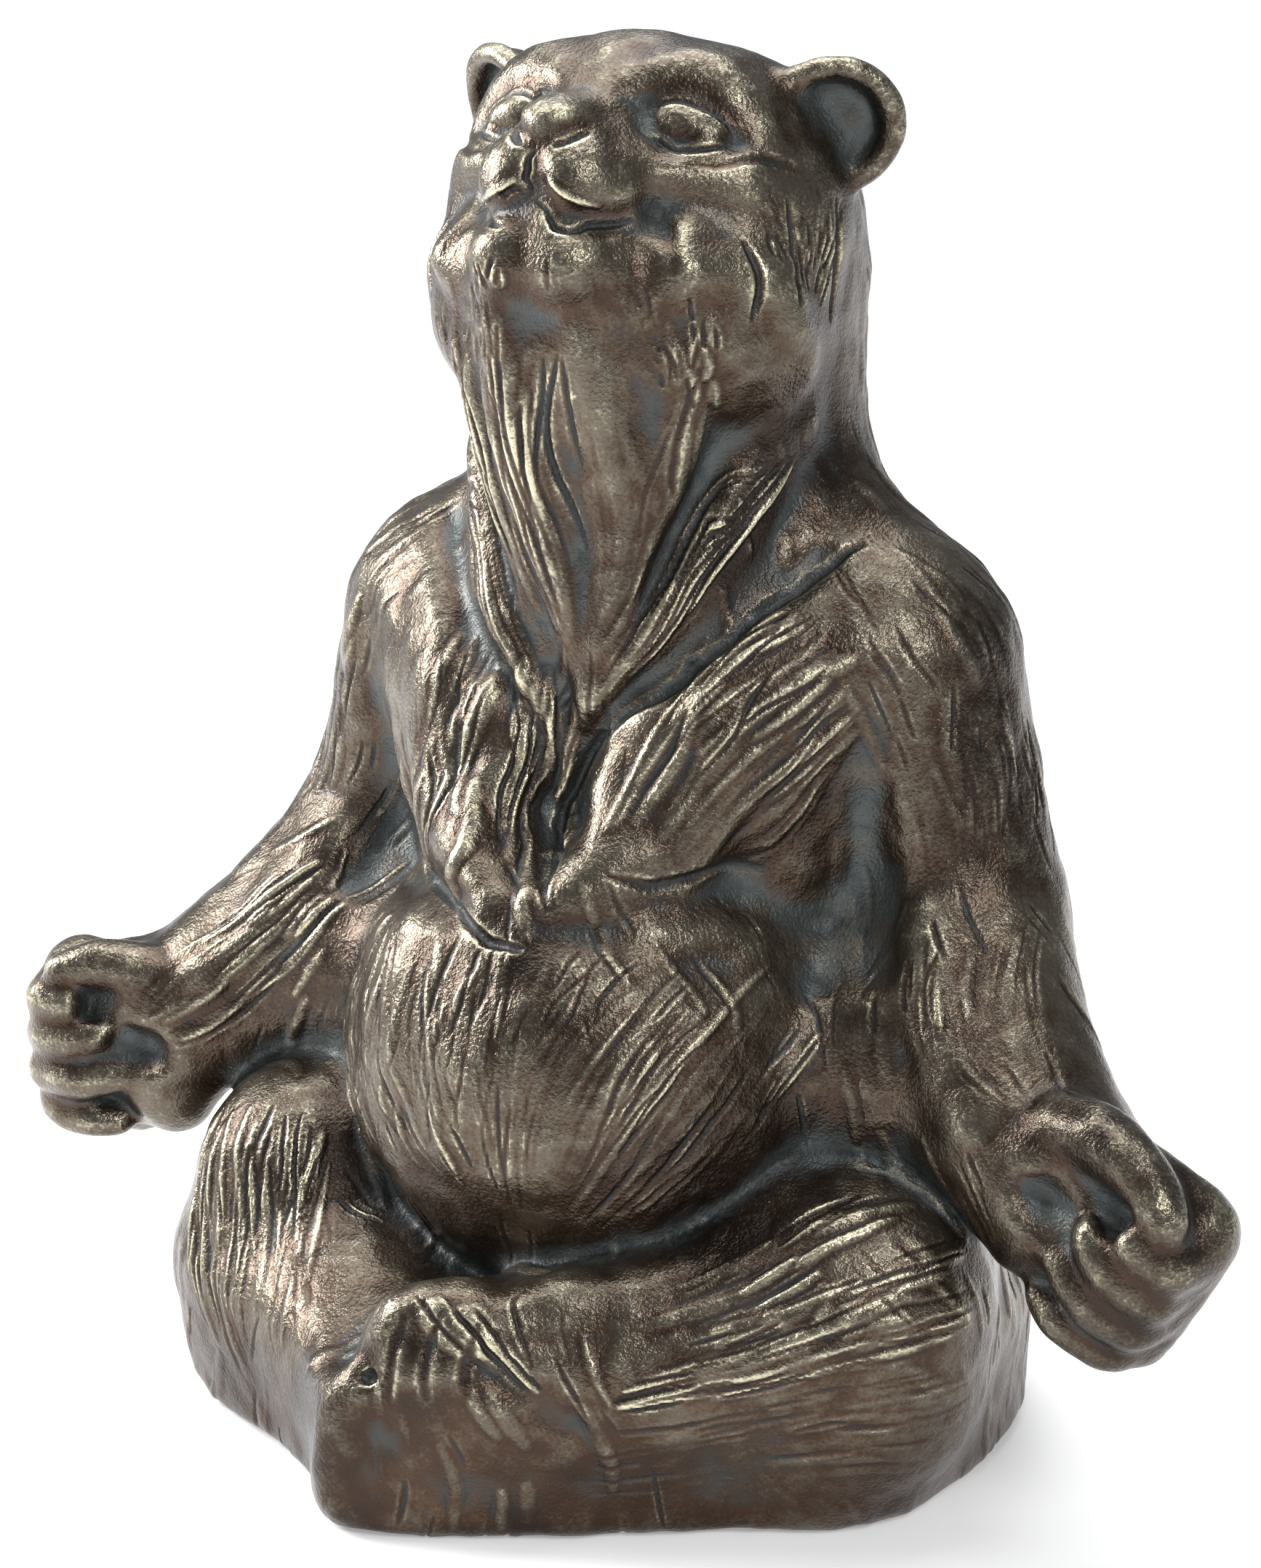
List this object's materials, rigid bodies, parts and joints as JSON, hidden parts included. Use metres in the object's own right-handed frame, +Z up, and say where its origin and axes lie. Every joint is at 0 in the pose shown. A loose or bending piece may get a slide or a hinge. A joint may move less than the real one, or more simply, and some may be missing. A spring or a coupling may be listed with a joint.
{
  "type": "bear garden statue",
  "caption": "Seated bear figure in cross-legged meditation with raised muzzle, closed eyes and loosely closed fists held out over the knees, on a flat underside.",
  "frame": {"origin": "on the flat underside, below the middle of the body", "axes": "+Z up; the face and the crossed shins look along -Y; the figure's left side is +X"},
  "size_m": [0.3917, 0.2318, 0.401],
  "materials": {
    "patinated_bronze": "dark brown patina, worn golden on the ridges, grey-green in the recesses"
  },
  "bodies": {
    "root": {"bear_statue": "patinated_bronze"}
  },
  "joints": []
}
